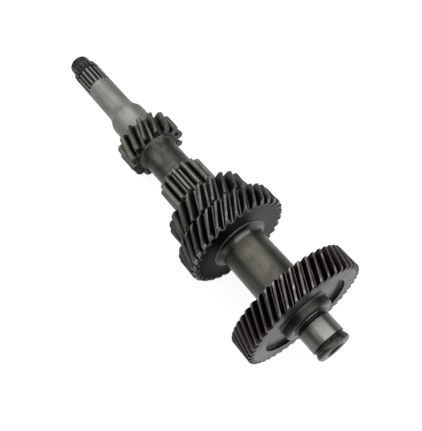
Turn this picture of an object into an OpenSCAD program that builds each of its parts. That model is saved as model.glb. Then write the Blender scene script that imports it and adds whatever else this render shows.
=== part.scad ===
// Transmission cluster gear: the one-piece countershaft of a manual gearbox.
// Four helical gears, a straight-toothed reverse gear, two ground bearing journals and a
// splined end are cut from one forging. The shaft is built along +Z, station by station,
// then laid along +X and tilted as it lies on a bench. All sizes are in millimetres.

/* [View] */
// Piece to draw
// Slope of the axis as the part lies on its third gear and its splined end
rest_tilt = 8.44; // [0:0.01:12]
// Roll about the axis that brings two teeth of the third gear down
rest_roll = -1.3; // [-6:0.01:6]
// Smoothness of the turned surfaces
turned_fn = 120; // [72:12:180]

/* [Spline end] */
// Diameter of the plain tip
tip_d = 19.8; // [16:0.2:21]
// Length of the plain tip
tip_len = 10.3; // [6:0.1:16]
// Edge chamfer at the tip
tip_chamfer = 1.6; // [0.4:0.1:2]
// Outside diameter of the spline
spline_d = 24.9; // [24:0.1:24.9]
// Root diameter of the spline
spline_root_d = 22.2; // [21.6:0.1:22.8]
// Number of spline teeth
spline_teeth = 18; // [12:1:24]
// Length of the spline with its lead-in
spline_len = 31.6; // [20:0.2:40]
// Length of the lead-in chamfer of the spline
spline_lead = 3; // [1.5:0.1:4]
// Angle of that chamfer
spline_lead_angle = 30; // [15:1:35]
// Width of the ring groove in the spline
spline_groove_w = 1.7; // [1:0.1:2.5]
// Distance of that groove from the spline's start
spline_groove_at = 9.4; // [6:0.1:12]
// Turn of the spline teeth from the top
spline_turn = 7.8; // [-10:0.1:10]

/* [Journals] */
// Diameter of the long journal
long_journal_d = 25; // [24:0.05:25.6]
// Length of the long journal
long_journal_len = 32.6; // [24:0.1:44]
// Diameter of the seat beside the first gear
seat_d = 33.2; // [31:0.1:36]
// Length of that seat
seat_len = 24.6; // [16:0.1:34]
// Hollow radius of the flare between journal and seat
flare_r = 28; // [16:0.5:40]
// Radius of the rounding at the top of the flare
flare_round = 8; // [4:0.5:12]
// Diameter of the end journal
end_journal_d = 28; // [24:0.05:31]
// Length of the end journal
end_journal_len = 15.4; // [11:0.1:22]
// Length of the grinding relief at the hub
relief_len = 3.6; // [2:0.1:5]
// Depth of the grinding relief
relief_depth = 0.7; // [0.3:0.1:1]
// Width of the snap ring groove
ring_groove_w = 1.9; // [1:0.1:3]
// Depth of the snap ring groove
ring_groove_depth = 1.4; // [0.8:0.1:2]
// Length of the flare from that groove up to the end land
end_flare_len = 1.4; // [0.4:0.1:2]
// Length of the end land past the groove, flare included
end_land_len = 5; // [4:0.1:8]
// Diameter of the end land
end_land_d = 27.9; // [26:0.1:28]
// Mouth diameter of the centre holes
centre_hole_d = 11.6; // [6:0.1:12]

/* [First gear] */
// Outside diameter of the first gear
first_d = 55.4; // [50:0.1:60]
// Number of teeth of the first gear
first_teeth = 14; // [12:1:18]
// Width of the first gear
first_w = 22.4; // [16:0.1:28]
// Helix angle of the first gear
first_helix = 19; // [12:0.5:26]
// Turn of its middle tooth from the top
first_turn = 9.6; // [-15:0.1:15]
// Diameter of the collar beside the first gear
collar_d = 38.8; // [37:0.1:40]
// Length of that collar
collar_len = 1.5; // [0.8:0.1:4]

/* [Plain shaft] */
// Diameter of the shaft between first and reverse gear
plain_d = 32.2; // [28:0.1:33]
// Length of that shaft
plain_len = 30.1; // [20:0.1:40]
// Radius of the fillet at the collar
collar_fillet = 2.4; // [1:0.1:2.8]

/* [Reverse gear] */
// Outside diameter of the straight-toothed gear
spur_d = 44; // [42:0.1:50]
// Number of its teeth
spur_teeth = 14; // [12:1:18]
// Width of the straight-toothed gear
spur_w = 27; // [20:0.1:34]
// Length of the low collar before it
spur_collar_len = 3.3; // [2:0.1:5]
// Height of that collar above the shaft
spur_collar_h = 0.6; // [0.3:0.1:1]
// Turn of its top tooth
spur_turn = -8; // [-13:0.1:13]
// Length of the gap to the second gear
spur_gap = 7.2; // [4:0.1:10]

/* [Second gear] */
// Outside diameter of the second gear
second_d = 73.2; // [66:0.1:80]
// Number of teeth of the second gear
second_teeth = 20; // [16:1:24]
// Width of the second gear
second_w = 20.8; // [15:0.1:26]
// Helix angle of the second gear
second_helix = 28.5; // [20:0.5:34]
// Turn of its middle tooth from the top
second_turn = -3.7; // [-9:0.1:9]
// Length of the groove to the third gear
neck_len = 4.4; // [3:0.1:7]
// Step from the tooth roots down to that groove
neck_step = 1.2; // [0.5:0.1:3]

/* [Third gear] */
// Outside diameter of the third gear
third_d = 90.6; // [84:0.1:98]
// Number of teeth of the third gear
third_teeth = 32; // [28:1:36]
// Width of the third gear
third_w = 20.7; // [15:0.1:26]
// Helix angle of the third gear
third_helix = 33; // [26:0.5:36]
// Turn of its middle tooth from the top
third_turn = 3.5; // [-6:0.1:6]
// Diameter of the low boss on its face
boss_d = 49.2; // [46:0.1:58]
// Height of that boss
boss_h = 0.7; // [0.3:0.1:1.5]

/* [Thick shaft] */
// Diameter of the shaft between third and drive gear
thick_d = 38; // [34:0.1:42]
// Length of that shaft, fillets included
thick_len = 54.9; // [45:0.1:70]
// Radius of the fillet at the boss
boss_fillet = 5.2; // [3:0.1:5.6]
// Radius of the fillet at the drive gear
drive_fillet = 4; // [2:0.1:6]

/* [Drive gear] */
// Outside diameter of the drive gear
drive_d = 105.8; // [96:0.1:116]
// Number of teeth of the drive gear
drive_teeth = 46; // [40:1:52]
// Width of the drive gear
drive_w = 21.3; // [15:0.1:26]
// Helix angle of the drive gear
drive_helix = 28.5; // [20:0.5:34]
// Turn of its middle tooth from the top
drive_turn = -0.8; // [-4:0.1:4]
// Diameter of the recess in its face
recess_d = 75.4; // [64:0.1:84]
// Depth of that recess
recess_depth = 3; // [1:0.1:6]
// Diameter of the hub inside the recess
hub_d = 42; // [36:0.1:46]
// Height of the hub above the face
hub_h = 5; // [2:0.1:8]
// Radius of the hub's rounded edge
hub_round = 2; // [0.5:0.1:2.5]
// Chamfer on the ends of its teeth
drive_chamfer = 0.9; // [0.4:0.1:1.6]

/* [Teeth] */
// Normal pressure angle
pressure_angle = 20; // [17:0.5:22]
// Root clearance as a share of the module
root_clearance = 0.25; // [0.15:0.01:0.35]
// Backlash taken off each tooth, as a share of the module
tooth_thinning = 0.04; // [0:0.01:0.1]
// Fillet at the tooth root, as a share of the module
root_fillet = 0.3; // [0.1:0.01:0.36]
// Chamfer on the tooth ends of the other gears
tooth_chamfer = 1.3; // [0.6:0.1:1.6]

/* [Hidden] */
steel = [0.55, 0.55, 0.54];
fillet_steps = 6;
twist_step = 4.6;
edge = 0.4;
sink = 0.05;
embed = 0.4;
inset = 1;
spline_gap = 1;
spline_end_chamfer = 0.8;
spline_tip_share = 0.19;
spline_root_share = 0.32;
seat_fillet = 0.8;
relief_fillet = 0.6;
recess_fillet = 1.6;
hub_fillet = 2.2;
land_chamfer = 1.2;
pilot_r = 1.6;
pilot_len = 3;

// Angle at which the flare's hollow meets its rounding, and its length along the shaft
flare_angle = acos(1 - (seat_d - long_journal_d) / 2 / (flare_r + flare_round));
flare_len = (flare_r + flare_round) * sin(flare_angle);

// Stations along the shaft; zero is the middle of the end journal
z_end_l = -end_journal_len / 2;
z_hub = z_end_l - relief_len;
z_drive_r = z_hub - hub_h;
z_floor = z_drive_r - recess_depth;
z_drive_l = z_drive_r - drive_w;
z_boss = z_drive_l - thick_len;
z_third_r = z_boss - boss_h;
z_third_l = z_third_r - third_w;
z_second_r = z_third_l - neck_len;
z_second_l = z_second_r - second_w;
z_spur_r = z_second_l - spur_gap;
z_spur_l = z_spur_r - spur_w;
z_plain_r = z_spur_l - spur_collar_len;
z_collar = z_plain_r - plain_len;
z_first_r = z_collar - collar_len;
z_first_l = z_first_r - first_w;
z_seat_l = z_first_l - seat_len;
z_journal_r = z_seat_l - flare_len;
z_journal_l = z_journal_r - long_journal_len;
z_spline_l = z_journal_l - spline_len;
z_tip = z_spline_l - tip_len;
z_ring = end_journal_len / 2;
z_land = z_ring + ring_groove_w;
z_end = z_land + end_land_len;

// Radii used more than once
tip_r = tip_d / 2;
spline_r = spline_d / 2;
spline_root_r = spline_root_d / 2;
long_r = long_journal_d / 2;
plain_r = plain_d / 2;
collar_r = collar_d / 2;
thick_r = thick_d / 2;
hub_r = hub_d / 2;
recess_r = recess_d / 2;
end_r = end_journal_d / 2;
relief_r = end_r - relief_depth;
land_r = end_land_d / 2;
spur_module = spur_d / (spur_teeth + 2);
spur_root_r = spur_d / 2 - (2 + root_clearance) * spur_module;
second_module = normal_module(second_d, second_teeth, second_helix);
neck_r = second_d / 2 - (2 + root_clearance) * second_module - neck_step;

// Module of a helical gear from its outside diameter
function normal_module(d, teeth, helix) = d / (teeth / cos(helix) + 2);

// Involute function in degrees
function inv_deg(a) = (tan(a) - a * PI / 180) * 180 / PI;

// Half the angle that a tooth fills at radius r
function tooth_half(teeth, trans_angle, base_r, r) =
    90 / teeth + inv_deg(trans_angle) - inv_deg(acos(min(1, base_r / r)));

// Share of the tooth height at each step up the flank
function flank_share(k, steps) = k == 0 ? 0 : 0.28 + 0.72 * (k - 1) / (steps - 2);

// Radii up one flank, held under the chamfered radius at a tooth's end
function flank_radii(root_r, top_r, held_r, steps) = [
    for (k = [0 : steps - 1])
    min(held_r, root_r + (top_r - root_r) * flank_share(k, steps))
];

// Half angles of a tooth at those radii: backlash off the flank, a fillet at the root
function flank_halves(radii, teeth, trans_angle, base_r, m) = [
    for (k = [0 : len(radii) - 1])
    let (cut = (k == 0 ? root_fillet : 0) - tooth_thinning)
    tooth_half(teeth, trans_angle, base_r, radii[k]) + cut * m / radii[k] * 180 / PI
];

// One cross section of a gear, flank by flank round the shaft
function gear_ring(teeth, radii, halves, turn, z) = [
    for (i = [0 : teeth - 1], side = [-1, 1], k = [0 : len(radii) - 1])
    let (j = side < 0 ? k : len(radii) - 1 - k)
    let (a = turn + i * 360 / teeth + side * halves[j])
    [radii[j] * cos(a), radii[j] * sin(a), z]
];

// Points of an arc in the turned outline, as radius and station
function arc(cr, cz, r, from, to) = [
    for (i = [0 : fillet_steps])
    let (a = from + (to - from) * i / fillet_steps)
    [cr + r * cos(a), cz + r * sin(a)]
];

// A solid turned from its outline
module turned(outline) {
    rotate_extrude($fn = turned_fn)
    polygon(outline);
}

// A helical gear from station z0 to z1 whose teeth are chamfered at both ends
module helical_gear(d, teeth, helix, z0, z1, turn, steps, chamfer) {
    m = normal_module(d, teeth, helix);
    pitch_r = d / 2 - m;
    root_r = pitch_r - (1 + root_clearance) * m;
    trans_angle = atan(tan(pressure_angle) / cos(helix));
    base_r = pitch_r * cos(trans_angle);
    rate = tan(helix) / pitch_r * 180 / PI;
    body = z1 - z0 - 2 * chamfer;
    slices = ceil(rate * body / twist_step);
    stations = concat([z0], [for (i = [0 : slices]) z0 + chamfer + body * i / slices], [z1]);
    last = len(stations) - 1;
    n = teeth * steps * 2;
    points = [
        for (s = [0 : last])
        let (held_r = d / 2 - (s == 0 || s == last ? chamfer : 0))
        let (radii = flank_radii(root_r, d / 2, held_r, steps))
        let (halves = flank_halves(radii, teeth, trans_angle, base_r, m))
        let (angle = 180 + turn + rate * (stations[s] - (z0 + z1) / 2))
        each gear_ring(teeth, radii, halves, angle, stations[s])
    ];
    flanks = [
        for (s = [0 : last - 1], i = [0 : n - 1])
        let (a = s * n + i)
        let (b = s * n + (i + 1) % n)
        each [[a, b + n, b], [a, a + n, b + n]]
    ];
    centre = (last + 1) * n;
    ends = [
        for (i = [0 : n - 1])
        let (j = (i + 1) % n)
        each [[centre, i, j], [centre + 1, last * n + j, last * n + i]]
    ];
    polyhedron(concat(points, [[0, 0, z0], [0, 0, z1]]), concat(flanks, ends), convexity = 12);
}

module first_gear() {
    helical_gear(
        first_d, first_teeth, first_helix, z_first_l, z_first_r, first_turn, 4, tooth_chamfer
    );
}

module second_gear() {
    helical_gear(
        second_d, second_teeth, second_helix, z_second_l, z_second_r, second_turn, 4, tooth_chamfer
    );
}

module third_gear() {
    helical_gear(
        third_d, third_teeth, third_helix, z_third_l, z_third_r, third_turn, 3, tooth_chamfer
    );
}

// The drive gear with the round recess turned into its right face
module drive_gear() {
    difference() {
        helical_gear(
            drive_d, drive_teeth, drive_helix, z_drive_l, z_drive_r, drive_turn, 3, drive_chamfer
        );
        turned(concat(
            [[0, z_floor]],
            arc(recess_r - recess_fillet, z_floor + recess_fillet, recess_fillet, 270, 360),
            [[recess_r, z_drive_r + inset], [0, z_drive_r + inset]]
        ));
    }
}

// Straight teeth with chamfered ends; their roots sink into the shaft
module spur_gear() {
    pitch_r = spur_d / 2 - spur_module;
    base_r = pitch_r * cos(pressure_angle);
    radii = flank_radii(spur_root_r - embed, spur_d / 2 + inset, spur_d / 2 + inset, 4);
    halves = flank_halves(radii, spur_teeth, pressure_angle, base_r, spur_module);
    ring = gear_ring(spur_teeth, radii, halves, 180 + spur_turn, 0);
    intersection() {
        translate([0, 0, z_spur_l])
        linear_extrude(spur_w)
        polygon([for (p = ring) [p[0], p[1]]]);
        turned([
            [0, z_spur_l - inset],
            [spur_d / 2 - tooth_chamfer - inset, z_spur_l - inset],
            [spur_d / 2, z_spur_l + tooth_chamfer],
            [spur_d / 2, z_spur_r - tooth_chamfer],
            [spur_d / 2 - tooth_chamfer - inset, z_spur_r + inset],
            [0, z_spur_r + inset]
        ]);
    }
}

// Outline of the spline's blank: lead-in, ring groove and end chamfer
function spline_outline() =
    let (from = z_spline_l)
    let (groove = from + spline_groove_at)
    let (to = z_journal_l - spline_gap)
    let (low = spline_root_r - embed)
    [
        [0, from],
        [spline_r - spline_lead * tan(spline_lead_angle), from],
        [spline_r, from + spline_lead],
        [spline_r, groove],
        [low, groove],
        [low, groove + spline_groove_w],
        [spline_r, groove + spline_groove_w],
        [spline_r, to - spline_end_chamfer],
        [spline_r - spline_end_chamfer, to],
        [0, to]
    ];

// Spline teeth, cut by the outline of their blank
module spline() {
    pitch = 360 / spline_teeth;
    radii = [spline_root_r - embed, spline_r + inset];
    halves = [spline_root_share * pitch, spline_tip_share * pitch];
    ring = gear_ring(spline_teeth, radii, halves, 180 + spline_turn, 0);
    intersection() {
        translate([0, 0, z_spline_l - inset])
        linear_extrude(spline_len)
        polygon([for (p = ring) [p[0], p[1]]]);
        turned(spline_outline());
    }
}

// Outline of the shaft from its tip to the groove beside the second gear
function tip_side() = concat(
    [
        [0, z_tip],
        [tip_r - tip_chamfer, z_tip],
        [tip_r, z_tip + tip_chamfer],
        [tip_r, z_spline_l - sink],
        [spline_root_r, z_spline_l + spline_root_r - tip_r - sink],
        [spline_root_r, z_journal_l],
        [long_r - edge, z_journal_l],
        [long_r, z_journal_l + edge]
    ],
    arc(long_r + flare_r, z_journal_r, flare_r, 180, 180 - flare_angle),
    arc(seat_d / 2 - flare_round, z_seat_l, flare_round, -flare_angle, 0),
    arc(seat_d / 2 + seat_fillet, z_first_l - seat_fillet + sink, seat_fillet, 180, 90),
    [
        [seat_d / 2 + seat_fillet, z_first_l + inset],
        [collar_r, z_first_r - inset],
        [collar_r, z_collar - edge],
        [collar_r - edge, z_collar]
    ],
    arc(plain_r + collar_fillet, z_collar + collar_fillet, collar_fillet, 270, 180),
    [
        [plain_r, z_plain_r],
        [plain_r + spur_collar_h, z_plain_r + spur_collar_h],
        [plain_r + spur_collar_h, z_spur_l + inset],
        [spur_root_r, z_spur_l + inset],
        [spur_root_r, z_second_l + inset]
    ]
);

// Outline from the second gear to the end land
function drive_side() = concat(
    [
        [neck_r, z_second_l + inset],
        [neck_r, z_third_l + inset],
        [boss_d / 2, z_third_r - inset],
        [boss_d / 2, z_boss - edge / 2],
        [boss_d / 2 - edge / 2, z_boss]
    ],
    arc(thick_r + boss_fillet, z_boss + boss_fillet, boss_fillet, 270, 180),
    arc(thick_r + drive_fillet, z_drive_l - drive_fillet + sink, drive_fillet, 180, 90),
    [
        [thick_r + drive_fillet, z_drive_l + inset],
        [hub_r + hub_fillet, z_floor - inset]
    ],
    arc(hub_r + hub_fillet, z_floor + hub_fillet - sink, hub_fillet, 270, 180),
    arc(hub_r - hub_round, z_hub - hub_round, hub_round, 0, 90),
    arc(relief_r + relief_fillet, z_hub + relief_fillet, relief_fillet, 270, 180),
    [
        [relief_r, z_end_l - relief_depth],
        [end_r, z_end_l],
        [end_r, z_ring - edge],
        [end_r - edge, z_ring],
        [end_r - ring_groove_depth, z_ring],
        [end_r - ring_groove_depth, z_land],
        [land_r, z_land + end_flare_len],
        [land_r, z_end - land_chamfer],
        [land_r - land_chamfer, z_end],
        [0, z_end]
    ]
);

// A centre hole with its mouth at the origin, sunk along -Z
module centre_hole() {
    mouth_r = centre_hole_d / 2;
    cone_len = (mouth_r - pilot_r) / tan(30);
    turned([
        [0, -cone_len - pilot_len],
        [pilot_r, -cone_len - pilot_len],
        [pilot_r, -cone_len],
        [mouth_r + inset * tan(30), inset],
        [0, inset]
    ]);
}

// The whole shaft along +Z, zero at the middle of the end journal
module shaft() {
    difference() {
        union() {
            turned(concat(tip_side(), drive_side()));
            spline();
            first_gear();
            spur_gear();
            second_gear();
            third_gear();
            drive_gear();
        }
        translate([0, 0, z_end])
        centre_hole();
        translate([0, 0, z_tip])
        rotate([180, 0, 0])
        centre_hole();
    }
}

// The forging as it lies, end journal towards +X
module cluster_gear() {
    color(steel)
    rotate([0, 90 - rest_tilt, 0])
    rotate([0, 0, rest_roll])
    shaft();
}

cluster_gear();
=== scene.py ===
"""A gearbox cluster gear: turned shaft, four helical gears, a straight gear and a spline.

Every mesh is built along +Z in millimetres, with zero at the middle of the end journal,
and is then laid down and scaled to metres by ShaftPose.
"""
import logging
import math
from dataclasses import dataclass, field
from enum import Enum

import bmesh
import bpy
from mathutils import Matrix, Vector


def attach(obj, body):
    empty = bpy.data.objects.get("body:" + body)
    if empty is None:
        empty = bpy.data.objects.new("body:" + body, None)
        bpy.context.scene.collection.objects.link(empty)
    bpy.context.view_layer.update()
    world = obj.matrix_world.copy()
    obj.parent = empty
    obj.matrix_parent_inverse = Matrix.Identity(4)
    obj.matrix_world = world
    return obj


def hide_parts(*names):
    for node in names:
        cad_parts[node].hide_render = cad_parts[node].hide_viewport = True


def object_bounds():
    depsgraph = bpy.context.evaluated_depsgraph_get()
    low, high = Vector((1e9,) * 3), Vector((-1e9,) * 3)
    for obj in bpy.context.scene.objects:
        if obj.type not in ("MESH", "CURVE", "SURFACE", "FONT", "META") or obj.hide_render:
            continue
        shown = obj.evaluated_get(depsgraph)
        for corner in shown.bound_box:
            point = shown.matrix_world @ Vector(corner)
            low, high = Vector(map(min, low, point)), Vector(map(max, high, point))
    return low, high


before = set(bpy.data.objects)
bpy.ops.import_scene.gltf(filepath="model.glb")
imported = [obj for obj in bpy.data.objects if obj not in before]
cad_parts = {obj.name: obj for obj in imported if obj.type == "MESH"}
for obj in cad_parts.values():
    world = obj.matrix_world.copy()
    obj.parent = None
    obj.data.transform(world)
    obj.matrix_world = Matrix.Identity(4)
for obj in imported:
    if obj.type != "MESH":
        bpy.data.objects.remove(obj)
CAD_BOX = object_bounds()

LOG = logging.getLogger("cluster_gear")
NODE = "cluster_gear"
BODY = "root"
MM = 0.001
FRAME_PX = (422, 431)
SENSOR_MM = 36.0


class Finish(Enum):
    """The surfaces that machining leaves on the part, in material slot order."""

    SHAFT = 0
    GROUND = 1
    SATIN = 2
    FLANK = 3
    OILED_FLANK = 4
    WORN_FLANK = 5
    LAND = 6
    OILED_LAND = 7
    FACE = 8
    SHADED_OILED_FACE = 9
    DARK = 10
    ROUGH = 11
    HUB = 12
    FRESH_EDGE = 13
    PLAIN = 14
    FILLET = 15


@dataclass(frozen=True)
class ShaftPose:
    """How the shaft lies: slope of its axis, and roll about it, in degrees."""

    tilt: float = 8.44
    roll: float = -1.3

    def turn(self) -> Matrix:
        """Rotation from the upright shaft to the way it lies."""
        lay = Matrix.Rotation(math.radians(90.0 - self.tilt), 4, "Y")
        return lay @ Matrix.Rotation(math.radians(self.roll), 4, "Z")

    def matrix(self) -> Matrix:
        """Transform from millimetres along the shaft to the row frame in metres."""
        return self.turn() @ Matrix.Scale(MM, 4)

    def axis(self) -> Vector:
        """Direction of the shaft axis, towards the end journal."""
        return (self.turn() @ Vector((0.0, 0.0, 1.0))).normalized()


POSE = ShaftPose()


# ---------------------------------------------------------------- node helpers
class NodeSheet:
    """Places shader nodes in a tree and links them, left to right."""

    def __init__(self, tree: bpy.types.NodeTree) -> None:
        """Takes over an empty tree.

        Args:
            tree: the material's or group's node tree.
        """
        self.tree = tree
        self.column = 0

    def add(self, kind: str, inputs: dict | None = None, **settings: object) -> bpy.types.Node:
        """Adds one node.

        Args:
            kind: the node's bl_idname.
            inputs: values or sockets by input name or index.
            settings: attributes set on the node.

        Returns:
            The new node.
        """
        node = self.tree.nodes.new(kind)
        self.column += 1
        node.location = (200 * self.column, 0)
        for name, value in settings.items():
            setattr(node, name, value)
        for name, value in (inputs or {}).items():
            self.feed(node.inputs[name], value)
        return node

    def feed(self, socket: bpy.types.NodeSocket, value: object) -> None:
        """Links a socket to another, or sets its value."""
        if isinstance(value, bpy.types.NodeSocket):
            self.tree.links.new(value, socket)
        else:
            socket.default_value = value

    def math(self, operation: str, *values: object) -> bpy.types.NodeSocket:
        """Adds a Math node and returns its result."""
        node = self.add("ShaderNodeMath", dict(enumerate(values)), operation=operation)
        return node.outputs[0]

    def ramp(
        self, value: object, low: float, high: float, start: float = 0.0, end: float = 1.0
    ) -> bpy.types.NodeSocket:
        """Maps value from low..high to start..end, clamped."""
        node = self.add(
            "ShaderNodeMapRange",
            {"Value": value, "From Min": low, "From Max": high, "To Min": start, "To Max": end},
        )
        return node.outputs["Result"]

    def mix(self, factor: object, first: object, second: object) -> bpy.types.NodeSocket:
        """Mixes two colours by factor."""
        node = self.add("ShaderNodeMix", data_type="RGBA")
        self.feed(node.inputs["Factor"], factor)
        self.feed(node.inputs["A"], first)
        self.feed(node.inputs["B"], second)
        return node.outputs["Result"]


def shaft_coordinates(sheet: NodeSheet) -> bpy.types.NodeSocket:
    """Object coordinates turned upright, in millimetres, with Z along the shaft."""
    where = sheet.add("ShaderNodeTexCoord").outputs["Object"]
    upright = POSE.turn().inverted().to_euler("XYZ")
    turned = sheet.add(
        "ShaderNodeMapping",
        {"Vector": where, "Rotation": tuple(upright), "Scale": (1.0, 1.0, 1.0)},
    ).outputs[0]
    scaled = sheet.add("ShaderNodeVectorMath", {0: turned, "Scale": 1.0 / MM}, operation="SCALE")
    return scaled.outputs[0]


def new_group(name: str, inputs: dict[str, tuple], outputs: dict[str, str]) -> tuple:
    """Makes an empty shader group with named sockets.

    Args:
        name: the group's name.
        inputs: socket type and default by name.
        outputs: socket type by name.

    Returns:
        The group, its sheet, its input node and its output node.
    """
    group = bpy.data.node_groups.new(name, "ShaderNodeTree")
    for label, (kind, value) in inputs.items():
        socket = group.interface.new_socket(label, in_out="INPUT", socket_type=kind)
        socket.default_value = value
    for label, kind in outputs.items():
        group.interface.new_socket(label, in_out="OUTPUT", socket_type=kind)
    sheet = NodeSheet(group)
    return group, sheet, sheet.add("NodeGroupInput"), sheet.add("NodeGroupOutput")


def lathe_grain_group() -> bpy.types.NodeTree:
    """Fine rings left by turning and grinding: a value and a height."""
    number = "NodeSocketFloat"
    group, sheet, given, out = new_group(
        "lathe_grain",
        {"Rings per mm": (number, 3.0), "Waver": (number, 0.02)},
        {"Value": number, "Height": number},
    )
    apart = sheet.add("ShaderNodeSeparateXYZ", {0: shaft_coordinates(sheet)})
    x, y, z = apart.outputs
    radius = sheet.math("SQRT", sheet.math("ADD", sheet.math("MULTIPLY", x, x), sheet.math("MULTIPLY", y, y)))
    rings = given.outputs["Rings per mm"]
    waver = given.outputs["Waver"]
    grooves = sheet.add(
        "ShaderNodeCombineXYZ",
        {
            "X": sheet.math("ADD", sheet.math("MULTIPLY", radius, rings), sheet.math("MULTIPLY", x, waver)),
            "Y": sheet.math("MULTIPLY", z, rings),
            "Z": sheet.math("MULTIPLY", y, waver),
        },
    )
    noise = sheet.add("ShaderNodeTexNoise", {"Vector": grooves.outputs[0], "Scale": 1.0, "Detail": 3.0})
    value = noise.outputs["Fac"]
    sheet.feed(out.inputs["Value"], sheet.ramp(value, 0.25, 0.75))
    sheet.feed(out.inputs["Height"], value)
    return group


def oil_film_and_side_shade_group() -> bpy.types.NodeTree:
    """Patches where preserving oil lies thicker, plus painted shade that pushes them towards the −Y side of the
    upright shaft: a soft mask and a finer one.
    """
    number = "NodeSocketFloat"
    group, sheet, given, out = new_group(
        "oil_film_and_side_shade",
        {"Patch size mm": (number, 18.0), "Speckle size mm": (number, 1.4), "Shade side": (number, 0.0)},
        {"Patches": number, "Speckle": number},
    )
    where = shaft_coordinates(sheet)
    across = sheet.add("ShaderNodeSeparateXYZ", {0: where}).outputs["Y"]
    # Painted shade: more dark patches towards the −Y side, as much as Drained asks.
    side_shade_push = sheet.math("MULTIPLY", sheet.ramp(across, -40.0, 40.0, 0.5, -0.5), given.outputs["Shade side"])
    for label, size, low, high, drawn in (
        ("Patches", "Patch size mm", 0.38, 0.66, side_shade_push),
        ("Speckle", "Speckle size mm", 0.45, 0.72, 0.0),
    ):
        scale = sheet.math("DIVIDE", 1.0, given.outputs[size])
        noise = sheet.add("ShaderNodeTexNoise", {"Vector": where, "Scale": scale, "Detail": 4.0, "Roughness": 0.6})
        sheet.feed(out.inputs[label], sheet.ramp(sheet.math("ADD", noise.outputs["Fac"], drawn), low, high))
    return group


def rub_marks_group() -> bpy.types.NodeTree:
    """Faint streaks along the shaft, left by parts slid over it."""
    number = "NodeSocketFloat"
    group, sheet, given, out = new_group(
        "rub_marks", {"Streaks per mm": (number, 0.45)}, {"Value": number}
    )
    apart = sheet.add("ShaderNodeSeparateXYZ", {0: shaft_coordinates(sheet)})
    x, y, z = apart.outputs
    dense = given.outputs["Streaks per mm"]
    drawn = sheet.add(
        "ShaderNodeCombineXYZ",
        {
            "X": sheet.math("MULTIPLY", x, dense),
            "Y": sheet.math("MULTIPLY", y, dense),
            "Z": sheet.math("MULTIPLY", z, 0.03),
        },
    )
    noise = sheet.add("ShaderNodeTexNoise", {"Vector": drawn.outputs[0], "Scale": 1.0, "Detail": 4.0})
    sheet.feed(out.inputs["Value"], sheet.ramp(noise.outputs["Fac"], 0.3, 0.7))
    return group


def edge_highlight_and_wear_group() -> bpy.types.NodeTree:
    """Convex edges made lighter, partly rubbed bright by handling and partly a painted highlight: a broken mask
    along the convex edges.
    """
    number = "NodeSocketFloat"
    group, sheet, given, out = new_group(
        "edge_highlight_and_wear",
        {"Sharpness": (number, 0.53), "Breakup": (number, 0.5)},
        {"Mask": number},
    )
    point = sheet.add("ShaderNodeNewGeometry").outputs["Pointiness"]
    low = given.outputs["Sharpness"]
    edge = sheet.add(
        "ShaderNodeMapRange",
        {"Value": point, "From Min": low, "From Max": sheet.math("ADD", low, 0.06), "To Min": 0.0, "To Max": 1.0},
    ).outputs["Result"]
    noise = sheet.add("ShaderNodeTexNoise", {"Vector": shaft_coordinates(sheet), "Scale": 0.9, "Detail": 5.0})
    broken = sheet.ramp(noise.outputs["Fac"], 0.35, 0.6)
    kept = sheet.math("SUBTRACT", 1.0, sheet.math("MULTIPLY", given.outputs["Breakup"], sheet.math("SUBTRACT", 1.0, broken)))
    sheet.feed(out.inputs["Mask"], sheet.math("MULTIPLY", edge, kept))
    return group


def painted_gap_shade_group() -> bpy.types.NodeTree:
    """Painted shade in the tooth gaps and other hollows, darker where ambient occlusion finds them: a soft mask.
    """
    number = "NodeSocketFloat"
    group, sheet, given, out = new_group(
        "painted_gap_shade", {"Reach mm": (number, 4.0), "Unshaded from": (number, 0.82)}, {"Mask": number}
    )
    reach = sheet.math("MULTIPLY", given.outputs["Reach mm"], MM)
    hollow = sheet.add("ShaderNodeAmbientOcclusion", {"Distance": reach}, samples=8, only_local=True)
    noise = sheet.add("ShaderNodeTexNoise", {"Vector": shaft_coordinates(sheet), "Scale": 0.5, "Detail": 4.0})
    ragged = sheet.ramp(noise.outputs["Fac"], 0.3, 0.7, -0.06, 0.06)
    open_share = sheet.math("ADD", hollow.outputs["AO"], ragged)
    unshaded_from = given.outputs["Unshaded from"]
    mask = sheet.add(
        "ShaderNodeMapRange",
        {
            "Value": open_share, "From Min": sheet.math("SUBTRACT", unshaded_from, 0.3), "From Max": unshaded_from,
            "To Min": 1.0, "To Max": 0.0,
        },
    )
    sheet.feed(out.inputs["Mask"], mask.outputs["Result"])
    return group


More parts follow.
